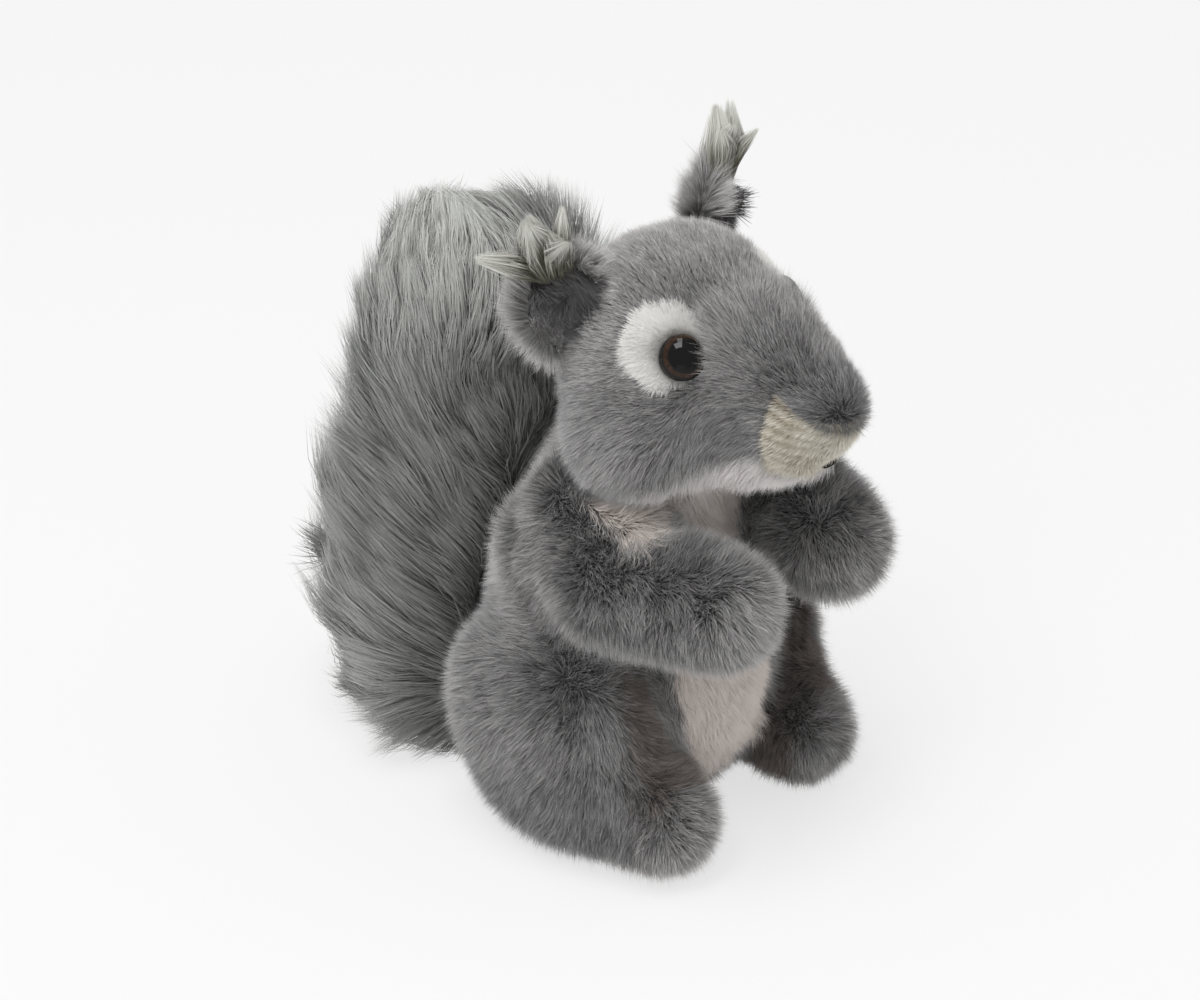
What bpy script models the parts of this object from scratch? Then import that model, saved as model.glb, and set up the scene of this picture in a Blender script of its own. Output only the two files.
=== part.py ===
"""Plush squirrel sitting upright, with a bushy tail behind its back.

The squirrel faces -Y, its right side is -X and it sits on the plane Z = 0.
All lengths are in metres. The origin is the middle of the seat, under the torso.
"""

from math import cos, pi, radians, sin

import bmesh
import bpy
from mathutils import Matrix, Vector
from mathutils.bvhtree import BVHTree

for old in list(bpy.data.objects):
    bpy.data.objects.remove(old, do_unlink=True)

# Fit between pieces, and how finely the sewn forms are meshed
SEAM_GAP = 0.0003
COARSE_STEP = 0.0078
FINE_STEP = 0.006
SOFTENING = 3
EGG_SEGMENTS = 16
TURNED_SEGMENTS = 24
GROUND_SPAN = 1.0

# Torso: a pear of three stuffed masses, flat where it sits
BELLY_HALF_WIDTH = 0.038
BELLY_HALF_DEPTH = 0.040
BELLY_HALF_HEIGHT = 0.050
BELLY_HEIGHT = 0.044
TORSO_SETBACK = 0.007
CHEST_HALF_WIDTH = 0.032
CHEST_HALF_DEPTH = 0.028
CHEST_HALF_HEIGHT = 0.032
CHEST_HEIGHT = 0.084
NECK_RADIUS = 0.023
NECK_HEIGHT = 0.108

# White panel down the front
BIB_HALF_WIDTH = 0.024
PANEL_HALF_WIDTH = 0.021
PANEL_FOOT_HALF_WIDTH = 0.010

# Haunches and feet
HAUNCH_SIDE = 0.035
HAUNCH_SETBACK = 0.006
HAUNCH_HEIGHT = 0.037
HAUNCH_HALF_WIDTH = 0.019
HAUNCH_HALF_LENGTH = 0.035
HAUNCH_HALF_HEIGHT = 0.033
FOOT_SIDE = 0.029
FOOT_REACH = 0.027
FOOT_HALF_WIDTH = 0.0172
FOOT_HALF_LENGTH = 0.0185
FOOT_HALF_HEIGHT = 0.0172
SOLE_FLAT = 0.002
SHIN_SIDE = 0.033
SHIN_HALF_WIDTH = 0.0185
SHIN_HALF_LENGTH = 0.033
SHIN_HALF_HEIGHT = 0.016

# Arms, bent so that the paws meet in front of the chest
SHOULDER_SIDE = 0.026
SHOULDER_HEIGHT = 0.097
SHOULDER_RADIUS = 0.020
ELBOW_SIDE = 0.032
ELBOW_REACH = 0.013
ELBOW_HEIGHT = 0.084
ELBOW_RADIUS = 0.020
PAW_SIDE = 0.023
PAW_REACH = 0.041
PAW_HEIGHT = 0.082
PAW_RADIUS = 0.0185

# Head: skull, cheeks, bridge, nose and muzzle
SKULL_HEIGHT = 0.138
SKULL_SETBACK = -0.007
SKULL_HALF_WIDTH = 0.035
SKULL_HALF_DEPTH = 0.030
SKULL_HALF_HEIGHT = 0.033
CHEEK_SIDE = 0.019
CHEEK_DROP = 0.017
CHEEK_SETBACK = -0.003
CHEEK_RADIUS = 0.020
BRIDGE_REACH = 0.026
BRIDGE_RISE = 0.004
BRIDGE_RADIUS = 0.021
NOSE_REACH = 0.0475
NOSE_RADIUS = 0.0135
MUZZLE_REACH = 0.038
MUZZLE_DROP = 0.011
MUZZLE_RADIUS = 0.0155
CHIN_REACH = 0.027
CHIN_DROP = 0.018
CHIN_RADIUS = 0.015

# Insets in the face
MUZZLE_PANEL_RISE = 0.003
MUZZLE_PANEL_TILT = 22.0
MUZZLE_PANEL_HALF_WIDTH = 0.0165
MUZZLE_PANEL_HALF_DEPTH = 0.016
MUZZLE_PANEL_HALF_HEIGHT = 0.013
CHIN_PANEL_HALF_WIDTH = 0.019
CHIN_PANEL_HALF_LENGTH = 0.024
CHIN_PANEL_HALF_HEIGHT = 0.0125
PATCH_HALF_LENGTH = 0.0112
PATCH_HALF_HEIGHT = 0.0112
PATCH_DEPTH = 0.006
MOUTH_LIFT = -19.0
MOUTH_HALF_WIDTH = 0.003
MOUTH_THREAD = 0.0009

# Safety eyes: a domed button on a shank, held by a washer inside the head
EYE_TURN = 48.0
EYE_LIFT = 21.0
PATCH_TURN = 57.0
PATCH_LIFT = 26.0
EYE_RADIUS = 0.006
EYE_DOME = 0.0036
EYE_EDGE = 0.0012
EYE_SUNK = 0.0012
SHANK_RADIUS = 0.0016
SHANK_LENGTH = 0.012
WASHER_RADIUS = 0.0055
WASHER_THICKNESS = 0.0012
WASHER_PLAY = 0.0003

# Ears
EAR_SIDE = 0.029
EAR_SETBACK = 0.013
EAR_LIFT = 0.018
EAR_HALF_WIDTH = 0.0125
EAR_HALF_HEIGHT = 0.0165
EAR_HALF_THICKNESS = 0.0055
EAR_TURN = 30.0
EAR_LEAN = 24.0
EAR_RIM = 0.0025
LINING_THICKNESS = 0.0016
TUFT_LEAN = 21.0
TUFT_RISE = 0.0175
TUFT_HALF_WIDTH = 0.0105
TUFT_HALF_HEIGHT = 0.0150
TUFT_HALF_THICKNESS = 0.0068

# Tail: up the back in a long S, covered in long pile that hangs in locks
TAIL_ROOT_SETBACK = 0.062
TAIL_ROOT_HEIGHT = 0.016
TAIL_ROOT_RADIUS = 0.032
TAIL_BULGE_SETBACK = 0.069
TAIL_BULGE_HEIGHT = 0.038
TAIL_BULGE_RADIUS = 0.0335
TAIL_MIDDLE_SETBACK = 0.066
TAIL_MIDDLE_HEIGHT = 0.076
TAIL_MIDDLE_RADIUS = 0.030
TAIL_WAIST_SETBACK = 0.055
TAIL_WAIST_HEIGHT = 0.103
TAIL_WAIST_RADIUS = 0.0235
TAIL_TOP_SETBACK = 0.061
TAIL_TOP_HEIGHT = 0.131
TAIL_TOP_RADIUS = 0.030
TAIL_STATIONS = 12
TAIL_WIDENING = 1.12
LOCK_ROWS = 6
LOCKS_PER_ROW = 8
LOCK_LENGTH = 0.0135
LOCK_RADIUS = 0.0105
LOCK_LEAN = 0.8


def material(name, colour, roughness, metallic=0.0):
    made = bpy.data.materials.new(name)
    made.use_nodes = True
    shader = made.node_tree.nodes["Principled BSDF"]
    shader.inputs["Base Color"].default_value = (*colour, 1.0)
    shader.inputs["Roughness"].default_value = roughness
    shader.inputs["Metallic"].default_value = metallic
    return made


GREY_PLUSH = material("grey_plush", (0.13, 0.13, 0.135), 0.95)
TAIL_PILE = material("tail_pile", (0.20, 0.205, 0.195), 0.95)
WHITE_PLUSH = material("white_plush", (0.62, 0.60, 0.55), 0.95)
CREAM_PLUSH = material("cream_plush", (0.45, 0.41, 0.32), 0.95)
PINK_WHITE_PLUSH = material("pink_white_plush", (0.48, 0.42, 0.39), 0.95)
DARK_PLUSH = material("dark_plush", (0.03, 0.03, 0.032), 0.95)
PALE_TUFT = material("pale_tuft", (0.33, 0.33, 0.29), 0.95)
EYE_PLASTIC = material("eye_plastic", (0.012, 0.010, 0.008), 0.08)
WASHER_PLASTIC = material("washer_plastic", (0.55, 0.55, 0.53), 0.45)
THREAD = material("thread", (0.03, 0.028, 0.025), 0.8)


def new_object(name, mesh, finish=None):
    obj = bpy.data.objects.new(name, mesh)
    bpy.context.scene.collection.objects.link(obj)
    if finish:
        mesh.materials.append(finish)
    return obj


def mesh_from(bm, name):
    mesh = bpy.data.meshes.new(name)
    bm.to_mesh(mesh)
    bm.free()
    mesh.shade_smooth()
    return mesh


def add_ball(bm, centre, radii, turn=None, around=24):
    """One ellipsoid in bm, with its half axes along X, Y, Z before the turn."""
    place = Matrix.Translation(centre) @ (turn or Matrix()) @ Matrix.Diagonal((*radii, 1.0))
    bmesh.ops.create_uvsphere(bm, u_segments=around, v_segments=around // 2, radius=1.0, matrix=place)


def plush(name, balls, finish, step=COARSE_STEP):
    """A stuffed form: overlapping balls fused into one skin and softened where they meet."""
    bm = bmesh.new()
    for ball in balls:
        add_ball(bm, *ball)
    obj = new_object(name, mesh_from(bm, name), finish)
    fuse = obj.modifiers.new("fuse", "REMESH")
    fuse.mode = "VOXEL"
    fuse.voxel_size = step
    fuse.use_smooth_shade = True
    soften = obj.modifiers.new("soften", "SMOOTH")
    soften.factor = 0.5
    soften.iterations = SOFTENING
    facet = obj.modifiers.new("facet", "TRIANGULATE")
    facet.quad_method = "FIXED"
    return obj


def egg(name, centre, radii, turn, finish=None):
    """A single ellipsoid as its own object."""
    bm = bmesh.new()
    add_ball(bm, centre, radii, turn, EGG_SEGMENTS)
    return new_object(name, mesh_from(bm, name), finish)


def tool(obj):
    """Keep an object only as a guide for cuts."""
    obj.hide_render = True
    obj.display_type = "WIRE"
    return obj


def grown(obj, margin=SEAM_GAP):
    """A hidden copy of a form, larger by the margin all over."""
    copy = tool(obj.copy())
    copy.name = obj.name + "_room"
    bpy.context.scene.collection.objects.link(copy)
    swell = copy.modifiers.new("swell", "DISPLACE")
    swell.mid_level = 0.0
    swell.strength = margin
    return copy


def cut(obj, *rooms):
    """Take all the rooms out of a piece in one step."""
    group = bpy.data.collections.new(obj.name + "_rooms")
    for room in rooms:
        group.objects.link(room)
    step = obj.modifiers.new("difference", "BOOLEAN")
    step.operation = "DIFFERENCE"
    step.solver = "EXACT"
    step.operand_type = "COLLECTION"
    step.collection = group


def part_of(form, name, region, finish):
    """The part of a form that lies inside a region, as a piece of its own."""
    piece = form.copy()
    piece.data = form.data.copy()
    piece.name = name
    piece.hide_render = False
    piece.display_type = "TEXTURED"
    piece.data.materials.clear()
    piece.data.materials.append(finish)
    bpy.context.scene.collection.objects.link(piece)
    keep = piece.modifiers.new("keep", "BOOLEAN")
    keep.operation = "INTERSECT"
    keep.solver = "EXACT"
    keep.object = region
    return piece


def turned(name, profile, place, finish=None):
    """A solid of revolution about local Z from (radius, height) points, bottom to top."""
    bm = bmesh.new()
    points = [bm.verts.new((radius, 0.0, height)) for radius, height in profile]
    edges = [bm.edges.new(pair) for pair in zip(points, points[1:])]
    bmesh.ops.spin(bm, geom=points + edges, axis=(0.0, 0.0, 1.0), cent=(0.0, 0.0, 0.0),
                   steps=TURNED_SEGMENTS, angle=2.0 * pi, use_merge=True)
    bmesh.ops.remove_doubles(bm, verts=bm.verts, dist=1e-6)
    bmesh.ops.recalc_face_normals(bm, faces=bm.faces)
    bmesh.ops.transform(bm, matrix=place, verts=bm.verts)
    mesh = mesh_from(bm, name)
    mesh.set_sharp_from_angle(angle=radians(40.0))
    return new_object(name, mesh, finish)


def facing(direction):
    """Rotation that carries local Z to the given direction, with local X kept level."""
    forward = Vector(direction).normalized()
    level = Vector((0.0, 0.0, 1.0)).cross(forward).normalized()
    return Matrix((level, forward.cross(level), forward)).transposed().to_4x4()


def between(first, last, count):
    """Count evenly spaced points from the first to the last, as four-part vectors."""
    return [first.lerp(last, index / (count - 1)) for index in range(count)]


def chain(stops, per_gap):
    """Balls strung along straight runs between stops of (x, y, z, radius)."""
    balls = []
    for first, last in zip(stops, stops[1:]):
        for stop in between(Vector(first), Vector(last), per_gap):
            balls.append((stop.xyz, (stop.w, stop.w, stop.w)))
    return balls


def along(stops, share):
    """Point of (x, y, z, radius) at a share of a smooth curve through the stops."""
    spans = len(stops) - 1
    span = min(int(share * spans), spans - 1)
    part = share * spans - span
    near = [Vector(stops[min(max(span + step, 0), spans)]) for step in (-1, 0, 1, 2)]
    rise = (near[2] - near[0]) * 0.5
    run_out = (near[3] - near[1]) * 0.5
    return (near[1] * (2 * part ** 3 - 3 * part ** 2 + 1) + rise * (part ** 3 - 2 * part ** 2 + part)
            + near[2] * (3 * part ** 2 - 2 * part ** 3) + run_out * (part ** 3 - part ** 2))


# Ground that flattens whatever the squirrel sits on
floor_bm = bmesh.new()
bmesh.ops.create_cube(floor_bm, size=GROUND_SPAN, matrix=Matrix.Translation((0.0, 0.0, -GROUND_SPAN / 2)))
ground = tool(new_object("ground", mesh_from(floor_bm, "ground")))

# Torso
torso = plush("torso", [
    ((0.0, TORSO_SETBACK, BELLY_HEIGHT), (BELLY_HALF_WIDTH, BELLY_HALF_DEPTH, BELLY_HALF_HEIGHT)),
    ((0.0, TORSO_SETBACK, CHEST_HEIGHT), (CHEST_HALF_WIDTH, CHEST_HALF_DEPTH, CHEST_HALF_HEIGHT)),
    ((0.0, 0.0, NECK_HEIGHT), (NECK_RADIUS, NECK_RADIUS, NECK_RADIUS)),
], GREY_PLUSH)
torso_room = grown(torso)

# Head
skull_centre = Vector((0.0, SKULL_SETBACK, SKULL_HEIGHT))
skull_radii = Vector((SKULL_HALF_WIDTH, SKULL_HALF_DEPTH, SKULL_HALF_HEIGHT))
nose_centre = skull_centre + Vector((0.0, -NOSE_REACH, 0.0))
muzzle_centre = skull_centre + Vector((0.0, -MUZZLE_REACH, -MUZZLE_DROP))
chin_centre = skull_centre + Vector((0.0, -CHIN_REACH, -CHIN_DROP))
bridge_centre = skull_centre + Vector((0.0, -BRIDGE_REACH, BRIDGE_RISE))
head_balls = [
    (skull_centre, skull_radii),
    (muzzle_centre, (MUZZLE_RADIUS,) * 3),
    (chin_centre, (CHIN_RADIUS,) * 3),
]
head_balls += chain([(*bridge_centre, BRIDGE_RADIUS), (*nose_centre, NOSE_RADIUS)], 4)
for side in (-1, 1):
    cheek = skull_centre + Vector((side * CHEEK_SIDE, CHEEK_SETBACK, -CHEEK_DROP))
    head_balls.append((cheek, (CHEEK_RADIUS,) * 3))
head = plush("head", head_balls, GREY_PLUSH, FINE_STEP)
head_form = tool(head.copy())
head_form.name = "head_form"
bpy.context.scene.collection.objects.link(head_form)
head_room = grown(head)


head_skin = BVHTree.FromObject(head_form, bpy.context.evaluated_depsgraph_get())


def on_head(side, turn, lift):
    """Point on the head's skin, and the way it faces, at a turn from the nose and a lift."""
    toward = Vector((side * sin(radians(turn)) * cos(radians(lift)),
                     -cos(radians(turn)) * cos(radians(lift)), sin(radians(lift))))
    point, outward, _, _ = head_skin.ray_cast(skull_centre, toward)
    return point, outward


# Muzzle and chin, let into the head
muzzle_panel_centre = muzzle_centre + Vector((0.0, -MUZZLE_PANEL_HALF_DEPTH / 2, MUZZLE_PANEL_RISE))
muzzle_region = tool(egg("muzzle_region", muzzle_panel_centre,
                         (MUZZLE_PANEL_HALF_WIDTH, MUZZLE_PANEL_HALF_DEPTH, MUZZLE_PANEL_HALF_HEIGHT),
                         Matrix.Rotation(radians(MUZZLE_PANEL_TILT), 4, "X")))
chin_region = tool(egg("chin_region", chin_centre + Vector((0.0, 0.0, -CHIN_RADIUS)),
                       (CHIN_PANEL_HALF_WIDTH, CHIN_PANEL_HALF_LENGTH, CHIN_PANEL_HALF_HEIGHT), None))
muzzle_room = grown(muzzle_region)
muzzle = part_of(head_form, "muzzle", muzzle_region, CREAM_PLUSH)
chin = part_of(head_form, "chin_panel", chin_region, PINK_WHITE_PLUSH)
cut(chin, muzzle_room)
head_cuts = [muzzle_room, grown(chin_region)]

# Mouth: a short bar of thread laid in the muzzle
mouth_point, mouth_outward = on_head(0, 0.0, MOUTH_LIFT)
mouth = egg("mouth_stitch", mouth_point, (MOUTH_HALF_WIDTH, MOUTH_THREAD / 2, MOUTH_THREAD),
            facing(mouth_outward), THREAD)
cut(muzzle, grown(mouth))

# Eyes, their patches and their washers
for side, hand in ((-1, "right"), (1, "left")):
    eye_point, eye_outward = on_head(side, EYE_TURN, EYE_LIFT)
    patch_point, patch_outward = on_head(side, PATCH_TURN, PATCH_LIFT)
    eye_place = Matrix.Translation(eye_point - eye_outward * EYE_SUNK) @ facing(eye_outward)

    shank_end = -SHANK_LENGTH
    dome = [(EYE_RADIUS * cos(radians(lift)), EYE_DOME * sin(radians(lift))) for lift in range(0, 90, 15)]
    eye = turned(hand + "_eye", [(0.0, shank_end), (SHANK_RADIUS, shank_end), (SHANK_RADIUS, -EYE_EDGE),
                                 (EYE_RADIUS, -EYE_EDGE)] + dome + [(0.0, EYE_DOME)], eye_place, EYE_PLASTIC)
    socket_radius = EYE_RADIUS + SEAM_GAP
    bore_radius = SHANK_RADIUS + SEAM_GAP
    bore_end = shank_end - SEAM_GAP
    eye_room = tool(turned(hand + "_eye_room", [(0.0, bore_end), (bore_radius, bore_end),
                                                (bore_radius, -EYE_EDGE - SEAM_GAP),
                                                (socket_radius, -EYE_EDGE - SEAM_GAP),
                                                (socket_radius, EYE_DOME * 2), (0.0, EYE_DOME * 2)],
                           eye_place))

    washer_back = shank_end + SHANK_RADIUS
    washer_front = washer_back + WASHER_THICKNESS
    hole = SHANK_RADIUS + WASHER_PLAY
    washer_ring = [(hole, washer_back), (WASHER_RADIUS, washer_back), (WASHER_RADIUS, washer_front),
                   (hole, washer_front), (hole, washer_back)]
    washer = turned(hand + "_eye_washer", washer_ring, eye_place, WASHER_PLASTIC)
    washer_room = tool(turned(hand + "_washer_room", [
        (0.0, washer_back - SEAM_GAP), (WASHER_RADIUS + SEAM_GAP, washer_back - SEAM_GAP),
        (WASHER_RADIUS + SEAM_GAP, washer_front + SEAM_GAP), (0.0, washer_front + SEAM_GAP)], eye_place))

    patch_region = tool(egg(hand + "_patch_region", patch_point,
                            (PATCH_HALF_LENGTH, PATCH_HALF_HEIGHT, PATCH_DEPTH), facing(patch_outward)))
    patch = part_of(head_form, hand + "_eye_patch", patch_region, WHITE_PLUSH)
    cut(patch, eye_room)
    head_cuts += [grown(patch_region), eye_room, washer_room]
cut(head, *head_cuts)

# Ears: a leaf-shaped shell, a dark lining in its hollow and a long pale tuft on its tip
ear_rooms = []
for side, hand in ((-1, "right"), (1, "left")):
    ear_centre = skull_centre + Vector((side * EAR_SIDE, EAR_SETBACK, EAR_LIFT))
    ear_outward = Vector((side * sin(radians(EAR_TURN)), -cos(radians(EAR_TURN)), 0.0))
    ear_turn = facing(ear_outward) @ Matrix.Rotation(-side * radians(EAR_LEAN), 4, "Z")
    ear_radii = (EAR_HALF_WIDTH, EAR_HALF_HEIGHT, EAR_HALF_THICKNESS)
    ear = egg(hand + "_ear", ear_centre, ear_radii, ear_turn, GREY_PLUSH)
    ear_form = tool(ear.copy())
    ear_form.name = hand + "_ear_form"
    bpy.context.scene.collection.objects.link(ear_form)
    ear_room = grown(ear)
    ear_rooms.append(ear_room)
    hollow_shift = ear_outward * EAR_HALF_THICKNESS
    hollow = tool(egg(hand + "_ear_hollow", ear_centre + hollow_shift,
                      (EAR_HALF_WIDTH - EAR_RIM, EAR_HALF_HEIGHT - EAR_RIM, EAR_HALF_THICKNESS / 2),
                      ear_turn))
    lining_region = grown(hollow, LINING_THICKNESS)
    lining = part_of(ear_form, hand + "_ear_lining", lining_region, DARK_PLUSH)
    cut(lining, hollow, head_room)
    cut(ear, grown(hollow, LINING_THICKNESS + SEAM_GAP), head_room)

    tuft_way = Vector((side * sin(radians(TUFT_LEAN)), 0.0, cos(radians(TUFT_LEAN))))
    tuft_centre = ear_centre + tuft_way * TUFT_RISE
    tuft_turn = facing(ear_outward) @ Matrix.Rotation(-side * radians(TUFT_LEAN), 4, "Z")
    tuft = egg(hand + "_ear_tuft", tuft_centre, (TUFT_HALF_WIDTH, TUFT_HALF_HEIGHT, TUFT_HALF_THICKNESS),
               tuft_turn, PALE_TUFT)
    cut(tuft, ear_room, head_room)

# White panel down the chest and belly
panel_region = tool(plush("panel_region", chain([
    (0.0, TORSO_SETBACK - CHEST_HALF_DEPTH, NECK_HEIGHT, BIB_HALF_WIDTH),
    (0.0, TORSO_SETBACK - BELLY_HALF_DEPTH, BELLY_HEIGHT, PANEL_HALF_WIDTH),
    (0.0, TORSO_SETBACK - BELLY_HALF_DEPTH, 0.0, PANEL_FOOT_HALF_WIDTH)], 6), None, FINE_STEP))
belly_panel = part_of(torso, "belly_panel", panel_region, PINK_WHITE_PLUSH)
cut(belly_panel, head_room, ground)
cut(torso, grown(panel_region), head_room, ground)

# Legs
leg_rooms = []
for side, hand in ((-1, "right"), (1, "left")):
    leg = plush(hand + "_leg", [
        ((side * HAUNCH_SIDE, HAUNCH_SETBACK, HAUNCH_HEIGHT),
         (HAUNCH_HALF_WIDTH, HAUNCH_HALF_LENGTH, HAUNCH_HALF_HEIGHT)),
        ((side * SHIN_SIDE, 0.0, SHIN_HALF_HEIGHT - SOLE_FLAT),
         (SHIN_HALF_WIDTH, SHIN_HALF_LENGTH, SHIN_HALF_HEIGHT)),
        ((side * FOOT_SIDE, -FOOT_REACH, FOOT_HALF_HEIGHT - SOLE_FLAT),
         (FOOT_HALF_WIDTH, FOOT_HALF_LENGTH, FOOT_HALF_HEIGHT)),
    ], GREY_PLUSH, FINE_STEP)
    leg_rooms.append(grown(leg))
    cut(leg, torso_room, ground)

# Arms
for side, hand in ((-1, "right"), (1, "left")):
    arm = plush(hand + "_arm", chain([
        (side * SHOULDER_SIDE, 0.0, SHOULDER_HEIGHT, SHOULDER_RADIUS),
        (side * ELBOW_SIDE, -ELBOW_REACH, ELBOW_HEIGHT, ELBOW_RADIUS),
        (side * PAW_SIDE, -PAW_REACH, PAW_HEIGHT, PAW_RADIUS)], 4), GREY_PLUSH, FINE_STEP)
    cut(arm, torso_room, head_room, *leg_rooms)

# Tail
tail_stops = [
    (0.0, TAIL_ROOT_SETBACK, TAIL_ROOT_HEIGHT, TAIL_ROOT_RADIUS),
    (0.0, TAIL_BULGE_SETBACK, TAIL_BULGE_HEIGHT, TAIL_BULGE_RADIUS),
    (0.0, TAIL_MIDDLE_SETBACK, TAIL_MIDDLE_HEIGHT, TAIL_MIDDLE_RADIUS),
    (0.0, TAIL_WAIST_SETBACK, TAIL_WAIST_HEIGHT, TAIL_WAIST_RADIUS),
    (0.0, TAIL_TOP_SETBACK, TAIL_TOP_HEIGHT, TAIL_TOP_RADIUS),
]
tail_balls = []
for station in range(TAIL_STATIONS):
    stop = along(tail_stops, station / (TAIL_STATIONS - 1))
    tail_balls.append((stop.xyz, (stop.w * TAIL_WIDENING, stop.w, stop.w)))
for row in range(LOCK_ROWS):
    share = (row + 0.5) / LOCK_ROWS
    stop = along(tail_stops, share)
    ahead = (along(tail_stops, share + 0.01) - along(tail_stops, share - 0.01)).xyz.normalized()
    behind = ahead.cross(Vector((1.0, 0.0, 0.0)))
    for lock in range(LOCKS_PER_ROW):
        angle = 2.0 * pi * (lock + (row % 2) / 2) / LOCKS_PER_ROW
        outward = Vector((cos(angle), 0.0, 0.0)) + behind * sin(angle)
        lie = (outward + ahead * (2.0 * share - 1.0) * LOCK_LEAN).normalized()
        root = stop.xyz + outward * stop.w
        tail_balls.append((root, (LOCK_RADIUS, LOCK_RADIUS, LOCK_LENGTH), facing(lie)))
tail = plush("tail", tail_balls, TAIL_PILE)
cut(tail, torso_room, head_room, ground, *leg_rooms, *ear_rooms)
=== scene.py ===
from math import cos, pi, radians, sin

import bmesh
import bpy
import numpy as np
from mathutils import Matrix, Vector
from mathutils.bvhtree import BVHTree
from mathutils.kdtree import KDTree


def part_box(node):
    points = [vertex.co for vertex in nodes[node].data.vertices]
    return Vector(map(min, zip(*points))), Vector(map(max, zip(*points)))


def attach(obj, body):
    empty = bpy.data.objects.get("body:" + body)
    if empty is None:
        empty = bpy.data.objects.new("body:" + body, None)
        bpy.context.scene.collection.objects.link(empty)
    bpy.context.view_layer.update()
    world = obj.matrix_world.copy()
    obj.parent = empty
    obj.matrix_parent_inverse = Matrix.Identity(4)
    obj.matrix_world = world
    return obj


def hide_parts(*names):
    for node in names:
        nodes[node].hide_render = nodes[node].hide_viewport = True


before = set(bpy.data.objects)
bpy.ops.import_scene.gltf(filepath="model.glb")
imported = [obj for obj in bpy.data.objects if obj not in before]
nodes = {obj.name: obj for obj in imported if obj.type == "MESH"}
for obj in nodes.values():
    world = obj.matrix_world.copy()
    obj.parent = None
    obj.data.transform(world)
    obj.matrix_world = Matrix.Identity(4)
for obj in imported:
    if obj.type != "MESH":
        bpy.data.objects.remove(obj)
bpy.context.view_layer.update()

# Plush squirrel: soft skins are shrunk copies of the CAD solids, and real pile is laid on them.
# Metres. The squirrel faces -Y, its right side is at -X, and the seat is at z = 0.

space = bpy.context.scene
share = 1.0        # a thinner pile while trying things
hands = {"right": -1, "left": 1}


# shader maths

class Wire:
    def __init__(self, tree, socket=None):
        self.tree = tree
        self.socket = socket

    def node(self, kind, settings=None, sockets=None, out=0):
        made = self.tree.nodes.new(kind)
        for key, value in (settings or {}).items():
            if key == "stops":
                ramp = made.color_ramp.elements
                while len(ramp) < len(value):
                    ramp.new(0.5)
                for stop, (place, colour) in zip(ramp, value):
                    stop.position = place
                    stop.color = (*colour, 1.0)
            else:
                setattr(made, key, value)
        for key, value in (sockets or {}).items():
            self.plug(made.inputs[key], value)
        return Wire(self.tree, made.outputs[out] if len(made.outputs) else None)

    def plug(self, socket, value):
        if isinstance(value, Wire):
            self.tree.links.new(value.socket, socket)
        else:
            socket.default_value = value

    def sum(self, operation, *values):
        return self.node("ShaderNodeMath", {"operation": operation}, dict(enumerate(values)))

    def __add__(self, other): return self.sum("ADD", self, other)
    def __radd__(self, other): return self.sum("ADD", other, self)
    def __sub__(self, other): return self.sum("SUBTRACT", self, other)
    def __rsub__(self, other): return self.sum("SUBTRACT", other, self)
    def __mul__(self, other): return self.sum("MULTIPLY", self, other)
    def __rmul__(self, other): return self.sum("MULTIPLY", other, self)
    def __pow__(self, other): return self.sum("POWER", self, other)

    def between(self, low, high):          # 0 below low, 1 above high, smooth in between
        return self.node("ShaderNodeMapRange", {"interpolation_type": "SMOOTHSTEP"}, {0: self, 1: low, 2: high})

    def blend(self, first, second):        # this wire is the factor between two colours
        sides = {6 + k: c if isinstance(c, Wire) else (*c, 1.0) for k, c in enumerate((first, second))}
        return self.node("ShaderNodeMix", {"data_type": "RGBA"}, {0: self, **sides}, out=2)

    def axes(self):                        # a vector's three numbers
        made = self.node("ShaderNodeSeparateXYZ", sockets={0: self})
        return [Wire(self.tree, socket) for socket in made.socket.node.outputs]


def finishOf(name, paint, **constants):
    material = bpy.data.materials.new(name)
    material.use_nodes = True
    tree = material.node_tree
    tree.nodes.clear()
    wire = Wire(tree)
    looks = {"Roughness": 0.85, "Specular IOR Level": 0.25, **constants, **paint(wire)}
    surface = wire.node("ShaderNodeBsdfPrincipled", sockets=looks)
    wire.node("ShaderNodeOutputMaterial", sockets={"Surface": surface})
    return material


# meshes

def newPiece(name, bm):
    mesh = bpy.data.meshes.new(name)
    bm.to_mesh(mesh)
    bm.free()
    piece = bpy.data.objects.new(name, mesh)
    space.collection.objects.link(piece)
    return piece


def mergedCopy(*names):                    # the CAD meshes are loose triangles, so a copy is merged
    bm = bmesh.new()
    for name in names:
        bm.from_mesh(nodes[name].data)
    bmesh.ops.remove_doubles(bm, verts=bm.verts, dist=1e-6)
    return bm


def settle(piece, **modifiers):            # adds the modifiers and applies them all
    for kind, settings in modifiers.items():
        added = piece.modifiers.new(kind, kind.upper())
        for key, value in settings.items():
            setattr(added, key, value)
    graph = bpy.context.evaluated_depsgraph_get()
    shape = bpy.data.meshes.new_from_object(piece.evaluated_get(graph))
    piece.modifiers.clear()
    piece.data = shape
    return piece


def dots(mesh, name, collection="vertices"):
    items = getattr(mesh, collection)
    found = np.empty(len(items) * 3, np.float32)
    items.foreach_get(name, found)
    return found.reshape(-1, 3).astype(float)


def unit(v):
    return v / np.maximum(np.linalg.norm(v, axis=-1, keepdims=True), 1e-12)


def dot(a, b):
    return (a * b).sum(-1, keepdims=True)

def ramp(value, start, end):               # 0 at the start, 1 at the end, straight in between
    return np.clip((value - start) / (end - start), 0, 1)


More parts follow.
